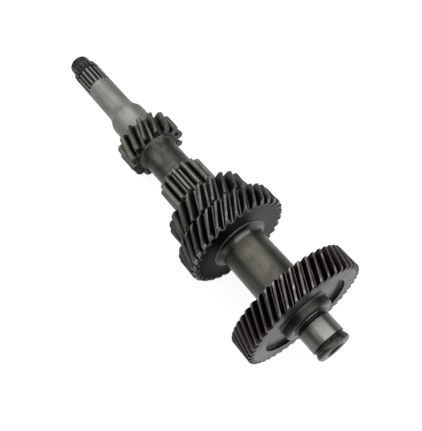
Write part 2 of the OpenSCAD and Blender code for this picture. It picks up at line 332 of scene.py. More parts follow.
# ------------------------------------------------------------------- finishes
@dataclass(frozen=True)
class SteelFinish:
    """One machined steel surface."""

    name: str
    colour: tuple[float, float, float]
    oiled_and_shaded: tuple[float, float, float]
    roughness: float
    oiled_roughness: float
    rings_per_mm: float = 2.0
    ring_shade: float = 0.1
    bump: float = 0.02
    anisotropy: float = 0.0
    patch_mm: float = 18.0
    # worn and wear: colour and strength of the lighter edges, partly wear and partly painted highlight.
    worn_highlight: tuple[float, float, float] = (0.5, 0.5, 0.48)
    wear_and_highlight: float = 0.0
    edge_tint: float = 1.0
    stain: tuple[float, float, float] = (0.05, 0.034, 0.026)
    stained: float = 0.08
    # drained: painted shade, darker towards the −Y side of the shaft; oiled is the colour of both the oil patches
    # and that shade.
    shade_side: float = 0.0
    rubbed: float = 0.06
    # grime and gap_shade_reach: painted shade in the hollows, by ambient occlusion, and how far it reaches.
    gap_shade: float = 0.0
    gap_shade_reach: float = 4.0

    def material(self) -> bpy.types.Material:
        """Builds the procedural material.

        Returns:
            The new material.
        """
        material = bpy.data.materials.new(self.name)
        material.use_nodes = True
        material.node_tree.nodes.clear()
        sheet = NodeSheet(material.node_tree)
        film_and_shade = sheet.add("ShaderNodeGroup", node_tree=bpy.data.node_groups["oil_film_and_side_shade"])
        film_and_shade.inputs["Patch size mm"].default_value = self.patch_mm
        film_and_shade.inputs["Shade side"].default_value = self.shade_side
        grain = sheet.add("ShaderNodeGroup", node_tree=bpy.data.node_groups["lathe_grain"])
        grain.inputs["Rings per mm"].default_value = self.rings_per_mm
        # The patches mask carries the oil film and the painted side shade.
        oil_and_shade = film_and_shade.outputs["Patches"]
        rings = grain.outputs["Value"]
        colour = sheet.mix(oil_and_shade, (*self.colour, 1.0), (*self.oiled_and_shaded, 1.0))
        turned = sheet.ramp(rings, 0.0, 1.0, 1.0 - self.ring_shade, 1.0 + self.ring_shade)
        marks = sheet.add("ShaderNodeGroup", node_tree=bpy.data.node_groups["rub_marks"]).outputs["Value"]
        slid = sheet.ramp(marks, 0.0, 1.0, 1.0 - self.rubbed, 1.0 + self.rubbed)
        shade = sheet.math("MULTIPLY", turned, slid)
        shaded = sheet.add("ShaderNodeVectorMath", {0: colour, "Scale": shade}, operation="SCALE").outputs[0]
        # Lighter convex edges: partly wear, partly painted highlight.
        if self.wear_and_highlight:
            edges = sheet.add("ShaderNodeGroup", node_tree=bpy.data.node_groups["edge_highlight_and_wear"])
            mask = sheet.math("MULTIPLY", edges.outputs["Mask"], self.wear_and_highlight)
            shaded = sheet.mix(mask, shaded, (*self.worn_highlight, 1.0))
        # Painted shade: near-black mixed into the hollows by the ambient-occlusion mask.
        if self.gap_shade:
            hollows = sheet.add("ShaderNodeGroup", node_tree=bpy.data.node_groups["painted_gap_shade"])
            hollows.inputs["Reach mm"].default_value = self.gap_shade_reach
            mask = sheet.math("MULTIPLY", hollows.outputs["Mask"], self.gap_shade)
            shaded = sheet.mix(mask, shaded, (0.006, 0.0055, 0.005, 1.0))
        spots = sheet.math("MULTIPLY", film_and_shade.outputs["Speckle"], self.stained)
        shaded = sheet.mix(spots, shaded, (*self.stain, 1.0))
        rough = sheet.ramp(oil_and_shade, 0.0, 1.0, self.roughness, self.oiled_roughness)
        speckled = sheet.math("MULTIPLY", film_and_shade.outputs["Speckle"], 0.06)
        grained = sheet.math("ADD", rough, sheet.math("MULTIPLY", rings, 0.05))
        bump = sheet.add(
            "ShaderNodeBump",
            {"Strength": self.bump, "Distance": 0.0002, "Height": grain.outputs["Height"]},
        )
        shader = sheet.add(
            "ShaderNodeBsdfPrincipled",
            {
                "Base Color": shaded,
                "Metallic": 1.0,
                "Roughness": sheet.math("ADD", grained, speckled),
                "Normal": bump.outputs[0],
                "Specular Tint": (self.edge_tint, self.edge_tint, self.edge_tint, 1.0),
            },
        )
        if self.anisotropy:
            shader.inputs["Anisotropic"].default_value = self.anisotropy
            shader.inputs["Anisotropic Rotation"].default_value = 0.25
            sheet.feed(shader.inputs["Tangent"], self.round_the_shaft(sheet))
        out = sheet.add("ShaderNodeOutputMaterial")
        sheet.feed(out.inputs["Surface"], shader.outputs[0])
        return material

    @staticmethod
    def round_the_shaft(sheet: NodeSheet) -> bpy.types.NodeSocket:
        """Direction of the machining marks: round the shaft axis."""
        where = sheet.add("ShaderNodeTexCoord").outputs["Object"]
        cross = sheet.add("ShaderNodeVectorMath", {0: tuple(POSE.axis()), 1: where}, operation="CROSS_PRODUCT")
        return sheet.add("ShaderNodeVectorMath", {0: cross.outputs[0]}, operation="NORMALIZE").outputs[0]


FINISHES: dict[Finish, SteelFinish] = {
    Finish.SHAFT: SteelFinish(
        "turned_shaft", (0.066, 0.064, 0.052), (0.034, 0.0335, 0.0285), 0.30, 0.37,
        rings_per_mm=1.6, ring_shade=0.12, bump=0.08, anisotropy=0.35, patch_mm=26.0, rubbed=0.1,
        worn_highlight=(0.16, 0.155, 0.14), wear_and_highlight=0.6,
    ),
    Finish.PLAIN: SteelFinish(
        "plain_length", (0.044, 0.0443, 0.0385), (0.025, 0.0255, 0.0225), 0.33, 0.40,
        rings_per_mm=1.6, ring_shade=0.14, bump=0.08, anisotropy=0.3, patch_mm=10.0, rubbed=0.12,
        worn_highlight=(0.16, 0.155, 0.14), wear_and_highlight=0.6,
    ),
    Finish.GROUND: SteelFinish(
        "ground_journal", (0.140, 0.138, 0.128), (0.115, 0.114, 0.106), 0.26, 0.30,
        rings_per_mm=4.0, ring_shade=0.06, bump=0.03, anisotropy=0.45, patch_mm=22.0,
    ),
    Finish.SATIN: SteelFinish(
        "satin_journal", (0.155, 0.155, 0.146), (0.130, 0.131, 0.119), 0.45, 0.52,
        rings_per_mm=5.0, ring_shade=0.05, bump=0.04, anisotropy=0.3, patch_mm=14.0, rubbed=0.14,
    ),
    Finish.FLANK: SteelFinish(
        "tooth_flank", (0.046, 0.045, 0.041), (0.024, 0.0235, 0.022), 0.36, 0.32,
        rings_per_mm=1.1, ring_shade=0.08, bump=0.04, patch_mm=9.0,
        worn_highlight=(0.10, 0.098, 0.092), wear_and_highlight=0.8, gap_shade=0.95, gap_shade_reach=5.0,
    ),
    Finish.OILED_FLANK: SteelFinish(
        "oiled_flank", (0.024, 0.0185, 0.0175), (0.014, 0.0105, 0.0115), 0.34, 0.30,
        rings_per_mm=1.1, ring_shade=0.08, bump=0.04, patch_mm=9.0,
        worn_highlight=(0.10, 0.096, 0.088), wear_and_highlight=0.8, gap_shade=0.9, gap_shade_reach=3.0,
    ),
    Finish.WORN_FLANK: SteelFinish(
        "worn_flank", (0.082, 0.083, 0.070), (0.046, 0.047, 0.039), 0.40, 0.38,
        rings_per_mm=1.1, ring_shade=0.08, bump=0.04, patch_mm=9.0,
        worn_highlight=(0.13, 0.128, 0.118), wear_and_highlight=0.7, gap_shade=0.97, gap_shade_reach=8.0,
    ),
    Finish.LAND: SteelFinish(
        "tooth_land", (0.062, 0.061, 0.058), (0.042, 0.0415, 0.0395), 0.38, 0.42,
        rings_per_mm=3.0, ring_shade=0.15, bump=0.05, anisotropy=0.3, patch_mm=8.0,
        worn_highlight=(0.16, 0.158, 0.15), wear_and_highlight=0.6,
    ),
    Finish.OILED_LAND: SteelFinish(
        "oiled_land", (0.055, 0.0505, 0.048), (0.032, 0.0285, 0.027), 0.36, 0.40,
        rings_per_mm=3.0, ring_shade=0.15, bump=0.05, anisotropy=0.3, patch_mm=8.0,
        worn_highlight=(0.30, 0.275, 0.267), wear_and_highlight=0.9,
    ),
    Finish.FACE: SteelFinish(
        "turned_face", (0.078, 0.078, 0.077), (0.042, 0.0435, 0.043), 0.27, 0.33,
        rings_per_mm=2.2, ring_shade=0.16, bump=0.06, anisotropy=0.6, patch_mm=20.0,
        worn_highlight=(0.16, 0.16, 0.155), wear_and_highlight=0.5, edge_tint=0.82,
    ),
    # The boss fillet is darker towards the −Y side: painted shade.
    Finish.FILLET: SteelFinish(
        "boss_fillet", (0.105, 0.105, 0.098), (0.026, 0.027, 0.027), 0.24, 0.30,
        rings_per_mm=2.2, ring_shade=0.12, bump=0.06, anisotropy=0.6, patch_mm=40.0,
        worn_highlight=(0.16, 0.16, 0.155), wear_and_highlight=0.5, edge_tint=0.82, shade_side=0.9,
    ),
    # A darker copy of the turned face for the gear faces: its very dark colour, low edge tint and full side shade
    # are painted shade on top of the oil.
    Finish.SHADED_OILED_FACE: SteelFinish(
        "shaded_oiled_face", (0.097, 0.098, 0.098), (0.0105, 0.0150, 0.0135), 0.32, 0.36,
        rings_per_mm=2.2, ring_shade=0.12, bump=0.06, anisotropy=0.6, patch_mm=40.0,
        worn_highlight=(0.14, 0.14, 0.135), wear_and_highlight=0.5, edge_tint=0.48, shade_side=1.0,
    ),
    # The hub is darker towards the −Y side: painted shade.
    Finish.HUB: SteelFinish(
        "shaded_oiled_hub", (0.060, 0.064, 0.056), (0.021, 0.027, 0.023), 0.34, 0.38,
        rings_per_mm=2.2, ring_shade=0.14, bump=0.06, anisotropy=0.4, patch_mm=18.0,
        worn_highlight=(0.16, 0.16, 0.15), wear_and_highlight=0.5, shade_side=0.5,
    ),
    Finish.FRESH_EDGE: SteelFinish(
        "fresh_edge", (0.20, 0.20, 0.186), (0.12, 0.12, 0.11), 0.42, 0.48,
        rings_per_mm=3.0, ring_shade=0.1, bump=0.04, patch_mm=6.0,
    ),
    Finish.DARK: SteelFinish(
        "blackened_spline", (0.018, 0.018, 0.0176), (0.009, 0.009, 0.0088), 0.38, 0.42,
        rings_per_mm=2.0, ring_shade=0.1, bump=0.05, patch_mm=6.0,
        worn_highlight=(0.14, 0.14, 0.132), wear_and_highlight=0.9,
    ),
    Finish.ROUGH: SteelFinish(
        "worn_end", (0.062, 0.062, 0.055), (0.018, 0.018, 0.016), 0.36, 0.44,
        rings_per_mm=1.8, ring_shade=0.2, bump=0.1, patch_mm=4.0, worn_highlight=(0.2, 0.2, 0.19), wear_and_highlight=0.5,
    ),
}


# --------------------------------------------------------------------- meshes
def finish_piece(bm: bmesh.types.BMesh, name: str, sharp_deg: float = 30.0) -> bpy.types.Object:
    """Lays a finished mesh down, makes its object and rides it on the body.

    Args:
        bm: the mesh, upright and in millimetres; it is freed.
        name: the piece's name.
        sharp_deg: edges that turn more than this stay sharp.

    Returns:
        The new object.
    """
    bmesh.ops.transform(bm, matrix=POSE.matrix(), verts=bm.verts)
    mesh = bpy.data.meshes.new(name)
    bm.to_mesh(mesh)
    bm.free()
    for finish in Finish:
        mesh.materials.append(bpy.data.materials[FINISHES[finish].name])
    mesh.shade_smooth()
    mesh.set_sharp_from_angle(angle=math.radians(sharp_deg))
    piece = bpy.data.objects.new(name, mesh)
    bpy.context.scene.collection.objects.link(piece)
    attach(piece, BODY)
    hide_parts(NODE)
    LOG.info("%s: %d faces", name, len(mesh.polygons))
    return piece


def face_outward(bm: bmesh.types.BMesh) -> None:
    """Turns every face of a closed mesh outward."""
    bmesh.ops.recalc_face_normals(bm, faces=bm.faces)
    if bm.calc_volume(signed=True) < 0:
        bmesh.ops.reverse_faces(bm, faces=bm.faces)


def rim_edges(bm: bmesh.types.BMesh, z: float) -> list[bmesh.types.BMEdge]:
    """Open edges of a mesh that lie at station z."""
    return [
        e for e in bm.edges
        if len(e.link_faces) < 2 and all(abs(v.co.z - z) < 1e-4 for v in e.verts)
    ]


def draw_in(
    bm: bmesh.types.BMesh, edges: list[bmesh.types.BMEdge], radius: float, z: float, held: bool = False
) -> list[bmesh.types.BMEdge]:
    """Extrudes a ring of edges and brings it to a radius at station z.

    Args:
        bm: the mesh.
        edges: the ring.
        radius: the new ring's radius, or the most that it may have.
        z: the new ring's station.
        held: only vertices outside the radius move in.

    Returns:
        The new ring's edges.
    """
    made = bmesh.ops.extrude_edge_only(bm, edges=edges)["geom"]
    for vert in (g for g in made if isinstance(g, bmesh.types.BMVert)):
        here = math.hypot(vert.co.x, vert.co.y)
        share = min(1.0, radius / here) if held else radius / here
        vert.co = Vector((vert.co.x * share, vert.co.y * share, z))
    return [g for g in made if isinstance(g, bmesh.types.BMEdge)]


@dataclass
class ToothForm:
    """The cross section of one tooth, in millimetres and degrees."""

    teeth: int
    outside_r: float
    root_r: float
    pitch_r: float
    base_r: float
    module: float
    thinning: float = 0.04
    fillet: float = 0.3
    tip_round: float = 0.22
    steps: int = 8

    @classmethod
    def of_gear(cls, outside_d: float, teeth: int, helix: float) -> "ToothForm":
        """An involute tooth.

        Args:
            outside_d: outside diameter.
            teeth: number of teeth.
            helix: helix angle in degrees.

        Returns:
            The tooth form.
        """
        lean = math.radians(helix)
        module = outside_d / (teeth / math.cos(lean) + 2)
        pitch_r = outside_d / 2 - module
        pressure = math.atan(math.tan(math.radians(20.0)) / math.cos(lean))
        return cls(teeth, outside_d / 2, pitch_r - 1.25 * module, pitch_r, pitch_r * math.cos(pressure), module)

    def half_angle(self, r: float) -> float:
        """Half the angle, in radians, that the tooth fills at radius r."""
        at_pitch = math.acos(min(1.0, self.base_r / self.pitch_r))
        here = math.acos(min(1.0, self.base_r / max(r, self.base_r)))
        involute = (math.tan(at_pitch) - at_pitch) - (math.tan(here) - here)
        angle = math.pi / 2 / self.teeth + involute - self.thinning * self.module / r
        rise = (r - self.root_r) / (0.38 * self.module)
        if rise < 1.0:
            angle += self.fillet * self.module * (1.0 - rise) ** 2 / r
        return angle

    def outline(self) -> list[tuple[float, float]]:
        """Radius and angle of each point from one gap's middle to the next."""
        height = self.outside_r - self.root_r
        foot = [0.0, 0.05, 0.12, 0.22, 0.34]
        body = [0.34 + (0.97 - 0.34) * k / self.steps for k in range(1, self.steps + 1)]
        side = []
        for share in foot + body:
            r = self.root_r + height * share
            side.append((r, self.half_angle(r)))
        tip = self.half_angle(self.outside_r)
        side.append((self.outside_r - 0.3 * self.tip_round, tip + 0.1 * self.tip_round / self.outside_r))
        side.append((self.outside_r, tip - 0.7 * self.tip_round / self.outside_r))
        gap = math.pi / self.teeth
        left = [(r, -a) for r, a in side]
        right = [(r, a) for r, a in reversed(side)]
        return [(self.root_r, -gap)] + left + right + [(self.root_r, gap)]


@dataclass
class SplineForm(ToothForm):
    """A straight-sided spline tooth: shares of the pitch at its top and foot."""

    top_share: float = 0.15
    foot_share: float = 0.30

    def half_angle(self, r: float) -> float:
        """Half the angle that the tooth fills at radius r."""
        share = (r - self.root_r) / (self.outside_r - self.root_r)
        mixed = self.foot_share + (self.top_share - self.foot_share) * share
        return mixed * 2 * math.pi / self.teeth


@dataclass
class ToothedBlock:
    """A ring of teeth between two stations, closed by a wall inside the shaft."""

    name: str
    form: ToothForm
    z_left: float
    z_right: float
    turn: float
    helix: float = 0.0
    left_chamfer: float = 1.3
    right_chamfer: float = 1.3
    left_slope: float = 1.0
    right_slope: float = 1.0
    bore_r: float = 10.0
    slices: int = 1
    right_face: list[tuple[float, float]] = field(default_factory=list)
    flank: Finish = Finish.FLANK
    land: Finish = Finish.LAND
    face: Finish = Finish.SHADED_OILED_FACE
    face_r: float = 1.5
    edge_break: float = 0.0
    broken: Finish = Finish.SATIN
    root: Finish = Finish.LAND

    def mesh(self) -> bmesh.types.BMesh:
        """Builds the teeth, their chamfered ends and the faces.

        Returns:
            The mesh, upright and in millimetres.
        """
        bm = bmesh.new()
        rate = math.tan(math.radians(self.helix)) / self.form.pitch_r
        middle = (self.z_left + self.z_right) / 2
        low, high = self.z_left + self.left_chamfer, self.z_right - self.right_chamfer
        start = math.pi + math.radians(self.turn) + rate * (low - middle)
        ring = self.first_ring(bm, low, start)
        bmesh.ops.spin(
            bm, geom=ring, cent=(0, 0, 0), axis=(0, 0, 1), dvec=(0, 0, (high - low) / self.slices),
            angle=rate * (high - low), steps=self.slices, use_duplicate=False,
        )
        self.close_end(bm, low, self.z_left, self.left_chamfer * self.left_slope, rate, [])
        self.close_end(bm, high, self.z_right, self.right_chamfer * self.right_slope, rate, self.right_face)
        self.inner_wall(bm)
        bmesh.ops.remove_doubles(bm, verts=bm.verts, dist=1e-4)
        face_outward(bm)
        self.paint(bm)
        self.break_edges(bm)
        return bm

    def first_ring(self, bm: bmesh.types.BMesh, z: float, start: float) -> list:
        """Copies one tooth's outline round the shaft and returns the closed ring."""
        verts = [
            bm.verts.new((r * math.cos(start + a), r * math.sin(start + a), z))
            for r, a in self.form.outline()
        ]
        edges = [bm.edges.new(pair) for pair in zip(verts, verts[1:])]
        teeth = self.form.teeth
        bmesh.ops.spin(
            bm, geom=verts + edges, cent=(0, 0, 0), axis=(0, 0, 1), dvec=(0, 0, 0),
            angle=2 * math.pi * (teeth - 1) / teeth, steps=teeth - 1, use_duplicate=True,
        )
        bmesh.ops.remove_doubles(bm, verts=bm.verts, dist=1e-3)
        return bm.verts[:] + bm.edges[:]

    def close_end(
        self, bm: bmesh.types.BMesh, z: float, face_z: float, drop: float, rate: float,
        profile: list[tuple[float, float]],
    ) -> None:
        """Chamfers the teeth at one end and turns the face behind them.

        Args:
            bm: the mesh.
            z: station where the chamfer starts.
            face_z: station of the gear's face.
            drop: how much lower the tips are at the face.
            rate: twist in radians per millimetre.
            profile: more rings of the face, as radius and station.
        """
        ring = draw_in(bm, rim_edges(bm, z), self.form.outside_r - drop, face_z, held=True)
        verts = list({v for e in ring for v in e.verts})
        bmesh.ops.rotate(bm, verts=verts, cent=(0, 0, 0), matrix=Matrix.Rotation(rate * (face_z - z), 3, "Z"))
        rounded = [(self.form.root_r - self.face_r, face_z)] + profile
        last_z = profile[-1][1] if profile else face_z
        for radius, station in rounded + [(self.bore_r, last_z)]:
            ring = draw_in(bm, ring, radius, station)

    def inner_wall(self, bm: bmesh.types.BMesh) -> None:
        """Joins the two inner rings by the wall that the shaft hides."""
        bm.edges.ensure_lookup_table()
        rims = [e for e in bm.edges if len(e.link_faces) == 1]
        bmesh.ops.bridge_loops(bm, edges=rims)

    def break_edges(self, bm: bmesh.types.BMesh) -> None:
        """Breaks the sharp edges between the teeth and the right face."""
        if not self.edge_break:
            return
        sharp = [
            e for e in bm.edges
            if all(abs(v.co.z - self.z_right) < 1e-4 for v in e.verts)
            and min(math.hypot(v.co.x, v.co.y) for v in e.verts) > self.form.root_r - 0.3
            and e.calc_face_angle() > 0.3
        ]
        bmesh.ops.bevel(
            bm, geom=sharp, offset=self.edge_break, offset_type="OFFSET", affect="EDGES",
            segments=1, profile=0.5, material=self.broken.value,
        )

    def paint(self, bm: bmesh.types.BMesh) -> None:
        """Gives each face the finish of its surface."""
        form = self.form
        for face in bm.faces:
            centre = face.calc_center_median()
            radius = math.hypot(centre.x, centre.y)
            outward = (face.normal.x * centre.x + face.normal.y * centre.y) / max(radius, 1e-6)
            if radius < form.root_r - self.face_r - 0.1 and abs(face.normal.z) < 0.9:
                face.material_index = Finish.DARK.value
            elif (
                self.edge_break and centre.z > self.z_right - self.right_chamfer
                and outward > 0.2 and 0.2 < face.normal.z < 0.9
                and radius > form.outside_r - self.right_chamfer - 0.3
            ):
                face.material_index = self.broken.value
            elif abs(face.normal.z) > 0.9 or radius < form.root_r - 0.2:
                face.material_index = self.face.value
            elif outward > 0.6 and radius > form.root_r + 0.5 * (form.outside_r - form.root_r):
                face.material_index = self.land.value
            elif outward > 0.9 and radius < form.root_r + 0.05:
                face.material_index = self.root.value
            else:
                face.material_index = self.flank.value


@dataclass
class TurnedShaft:
    """The shaft from tip to end land, as one turned outline."""

    steps: int = 192
    hole_mouth_r: float = 5.8
    hole_pilot_r: float = 1.6
    hole_pilot_len: float = 3.0

    def outline(self) -> list[tuple[float, float, float, Finish]]:
        """Radius, station, corner rounding and finish of each corner of the outline."""
        cone = (self.hole_mouth_r - self.hole_pilot_r) / math.tan(math.radians(30))
        tip, end = S.tip, S.end
        shaft, ground, satin = Finish.SHAFT, Finish.GROUND, Finish.SATIN
        dark, rough = Finish.DARK, Finish.ROUGH
        return [
            (0.0, tip + cone + self.hole_pilot_len, 0, dark),
            (self.hole_pilot_r, tip + cone + self.hole_pilot_len, 0, dark),
            (self.hole_pilot_r, tip + cone, 0, dark),
            (self.hole_mouth_r, tip, 0.2, dark),
            (8.3, tip, 0.3, dark),
            (9.9, tip + 1.6, 0.4, dark),
            (9.9, S.spline_l, 0.3, dark),
            (11.1, S.spline_l + 1.2, 0, dark),
            (11.1, S.journal_l, 0, dark),
            (12.5, S.journal_l, 0.35, satin),
            *S.flare(satin),
            (16.6, S.first_l - 0.8, 0.6, satin),
            (17.4, S.first_l + 1, 0, shaft),
            (19.4, S.first_r - 1, 0, shaft),
            (19.4, S.collar - 0.5, 0, satin),
            (19.4, S.collar, 0.4, satin),
            (18.5, S.collar, 0.2, dark),
            (18.2, S.collar - 0.35, 0.1, dark),
            (17.75, S.collar - 0.3, 0.1, satin),
            (17.5, S.collar + 0.3, 0.3, satin),
            (16.9, S.collar + 0.9, 0.5, shaft),
            (16.1, S.collar + 2.6, 1.2, Finish.PLAIN),
            (16.1, S.plain_r, 0.2, Finish.PLAIN),
            (16.7, S.plain_r + 0.6, 0.2, Finish.PLAIN),
            (16.7, S.spur_l + 1, 0, Finish.PLAIN),
            (15.81, S.spur_l + 1, 0, shaft),
            (15.81, S.second_l + 1, 0, shaft),
            (28.7, S.second_l + 1, 0, shaft),
            (28.7, S.third_l + 1, 0, shaft),
            (24.6, S.third_l + 2, 0, shaft),
            (24.6, S.boss - 0.3, 0, satin),
            (24.6, S.boss, 0.3, satin),
            (24.2, S.boss, 0, satin),
            *S.boss_fillet(Finish.FILLET),
            *S.drive_fillet(shaft),
            (23.0, S.drive_l + 1, 0, shaft),
            (23.2, S.floor - 1, 0, shaft),
            *S.hub_fillet(Finish.HUB),
            (21.0, S.hub, 1.9, Finish.HUB),
            (15.2, S.hub, 0.1, Finish.FACE),
            (14.9, S.hub - 0.45, 0.1, dark),
            (14.3, S.hub - 0.45, 0.1, dark),
            (14.2, S.hub + 0.35, 0.25, ground),
            (13.3, S.hub + 0.75, 0.3, dark),
            (13.3, S.end_l - 0.7, 0.3, dark),
            (14.0, S.end_l, 0.2, ground),
            (14.0, S.ring - 0.15, 0.12, ground),
            (12.6, S.ring, 0.1, dark),
            (12.6, S.ring + 0.8, 0.1, dark),
            (12.9, S.ring + 1.0, 0.15, dark),
            (13.1, S.land, 0.8, rough),
            (13.95, S.land + 1.5, 0.9, rough),
            (13.95, S.end - 1.0, 0.45, rough),
            (12.85, S.end, 0.2, ground),
            (self.hole_mouth_r + 1.6, S.end, 0.1, Finish.FACE),
            (self.hole_mouth_r + 0.9, S.end - 0.5, 0.15, dark),
            (self.hole_mouth_r, S.end - 0.6, 0.15, dark),
            (self.hole_pilot_r, S.end - cone, 0, dark),
            (self.hole_pilot_r, S.end - cone - self.hole_pilot_len, 0, dark),
            (0.0, S.end - cone - self.hole_pilot_len, 0, dark),
        ]

    def mesh(self) -> bmesh.types.BMesh:
        """Rounds the outline's corners and turns it about the axis.

        Returns:
            The mesh, upright and in millimetres.
        """
        bm = bmesh.new()
        corners = self.outline()
        verts = [bm.verts.new((r, 0.0, z)) for r, z, _, _ in corners]
        spans = [bm.edges.new(pair) for pair in zip(verts, verts[1:])]
        finish_of = {}
        for (r0, z0, _, _), (r1, z1, _, finish) in zip(corners, corners[1:]):
            finish_of[(r0, z0, r1, z1)] = finish
        rounding = {v: c[2] for v, c in zip(verts, corners) if c[2]}
        for size in sorted(set(rounding.values())):
            chosen = [v for v, r in rounding.items() if r == size]
            bmesh.ops.bevel(
                bm, geom=chosen, offset=size, offset_type="OFFSET", affect="VERTICES",
                segments=5, profile=0.5, material=-1,
            )
        del spans
        bmesh.ops.spin(
            bm, geom=bm.verts[:] + bm.edges[:], cent=(0, 0, 0), axis=(0, 0, 1), dvec=(0, 0, 0),
            angle=2 * math.pi, steps=self.steps, use_merge=True, use_duplicate=False,
        )
        bmesh.ops.remove_doubles(bm, verts=bm.verts, dist=1e-4)
        face_outward(bm)
        for face in bm.faces:
            centre = face.calc_center_median()
            face.material_index = self.nearest(math.hypot(centre.x, centre.y), centre.z, finish_of).value
        return bm

    @staticmethod
    def nearest(r: float, z: float, finish_of: dict) -> Finish:
        """The finish of the outline's span that passes nearest a point."""
        best, found = 1e9, Finish.SHAFT
        for (r0, z0, r1, z1), finish in finish_of.items():
            span = (r1 - r0) ** 2 + (z1 - z0) ** 2
            share = 0.0 if span == 0 else ((r - r0) * (r1 - r0) + (z - z0) * (z1 - z0)) / span
            share = max(0.0, min(1.0, share))
            apart = math.hypot(r - r0 - share * (r1 - r0), z - z0 - share * (z1 - z0))
            if apart < best - 1e-6:
                best, found = apart, finish
        return found


@dataclass(frozen=True)
class Stations:
    """Where each length of the shaft ends, in millimetres from the end journal's middle."""

    end_l: float = -7.7
    ring: float = 7.7
    land: float = 9.6
    end: float = 14.6
    hub: float = -11.3
    drive_r: float = -16.3
    floor: float = -19.3
    drive_l: float = -37.6
    boss: float = -92.5
    third_r: float = -93.2
    third_l: float = -113.9
    second_r: float = -118.3
    second_l: float = -139.1
    spur_r: float = -146.3
    spur_l: float = -173.3
    plain_r: float = -176.6
    collar: float = -206.7
    first_r: float = -208.2
    first_l: float = -230.6
    seat_l: float = -255.2
    flare_r: float = 28.0
    flare_round: float = 8.0

    def flare_angle(self) -> float:
        """Angle at which the flare's hollow meets its rounding."""
        return math.acos(1 - 4.1 / (self.flare_r + self.flare_round))

    @property
    def journal_r(self) -> float:
        """Station where the long journal ends."""
        return self.seat_l - (self.flare_r + self.flare_round) * math.sin(self.flare_angle())

    @property
    def journal_l(self) -> float:
        """Station where the long journal starts."""
        return self.journal_r - 32.6

    @property
    def spline_l(self) -> float:
        """Station where the spline starts."""
        return self.journal_l - 31.6

    @property
    def tip(self) -> float:
        """Station of the tip's end face."""
        return self.spline_l - 10.3

    @staticmethod
    def arc(
        centre: tuple[float, float], radius: float, start: float, stop: float, finish: Finish, steps: int = 10
    ) -> list[tuple[float, float, float, Finish]]:
        """Corners along an arc of the outline.

        Args:
            centre: the arc's centre, as radius and station.
            radius: the arc's radius.
            start: first angle in degrees.
            stop: last angle in degrees.
            finish: the arc's finish.
            steps: number of spans.

        Returns:
            The arc's corners, unrounded.
        """
        points = []
        for k in range(steps + 1):
            angle = math.radians(start + (stop - start) * k / steps)
            points.append((centre[0] + radius * math.cos(angle), centre[1] + radius * math.sin(angle), 0, finish))
        return points

    def flare(self, finish: Finish) -> list:
        """The flare from the long journal up to the seat."""
        meet = math.degrees(self.flare_angle())
        hollow = self.arc((12.5 + self.flare_r, self.journal_r), self.flare_r, 180, 180 - meet, finish)
        crown = self.arc((16.6 - self.flare_round, self.seat_l), self.flare_round, -meet, 0, finish)
        return hollow + crown[1:]

    def boss_fillet(self, finish: Finish) -> list:
        """The fillet from the third gear's boss down to the thick shaft."""
        return self.arc((24.2, self.boss + 5.2), 5.2, 270, 180, finish)

    def drive_fillet(self, finish: Finish) -> list:
        """The fillet from the thick shaft up to the drive gear."""
        return self.arc((23.0, self.drive_l - 3.95), 4.0, 180, 90, finish)

    def hub_fillet(self, finish: Finish) -> list:
        """The fillet from the recess floor up to the hub."""
        return self.arc((23.2, self.floor + 2.15), 2.2, 270, 180, finish)


S = Stations()


def gear_blocks() -> list[ToothedBlock]:
    """The toothed parts of the cluster, from the drive gear to the spline."""
    recess = [
        (37.9, S.drive_r), (37.7, S.drive_r - 0.2), (37.7, S.floor + 1.6),
        *[(r, z) for r, z, _, _ in S.arc((36.1, S.floor + 1.6), 1.6, 0, -90, Finish.FACE, 6)[1:]],
    ]
    blank = ToothForm(18, 12.45, 11.1, 12.0, 11.0, 1.4)
    spline = SplineForm(18, 12.45, 11.1, 12.0, 11.0, blank.module, steps=3, tip_round=0.25)
    groove = S.spline_l + 9.4
    return [
        ToothedBlock(
            "drive_gear", ToothForm.of_gear(105.79, 46, 28.5), S.drive_l, S.drive_r, -0.8, 28.5,
            0.9, 0.9, bore_r=16.0, slices=12, right_face=recess, edge_break=0.25,
            flank=Finish.OILED_FLANK, land=Finish.OILED_LAND, face=Finish.FACE, broken=Finish.OILED_LAND,
            root=Finish.OILED_LAND,
        ),
        ToothedBlock(
            "third_gear", ToothForm.of_gear(90.6, 32, 33.0), S.third_l, S.third_r, 3.5, 33.0,
            right_chamfer=2.2, bore_r=16.0, slices=12, edge_break=0.4, broken=Finish.FRESH_EDGE,
        ),
        ToothedBlock(
            "second_gear", ToothForm.of_gear(73.2, 20, 28.5), S.second_l, S.second_r, -3.7, 28.5,
            bore_r=14.0, slices=12, edge_break=0.3, broken=Finish.LAND,
        ),
        ToothedBlock(
            "reverse_gear", ToothForm.of_gear(44.0, 14, 0.0), S.spur_l, S.spur_r, -8.0,
            bore_r=10.0, face_r=0.4, flank=Finish.WORN_FLANK,
        ),
        ToothedBlock(
            "first_gear", ToothForm.of_gear(55.4, 14, 19.0), S.first_l, S.first_r, 9.6, 19.0,
            bore_r=12.0, slices=10, flank=Finish.WORN_FLANK,
        ),
        ToothedBlock(
            "spline_front", spline, S.spline_l, groove, 7.8, left_chamfer=3.0, right_chamfer=0.15,
            left_slope=0.577, bore_r=8.0, flank=Finish.DARK, land=Finish.DARK, face_r=0.5, root=Finish.DARK,
        ),
        ToothedBlock(
            "spline_rear", spline, groove + 1.7, S.journal_l - 1.0, 7.8, left_chamfer=0.15, right_chamfer=0.8,
            bore_r=8.0, flank=Finish.DARK, land=Finish.GROUND, face_r=0.5, root=Finish.DARK,
        ),
    ]


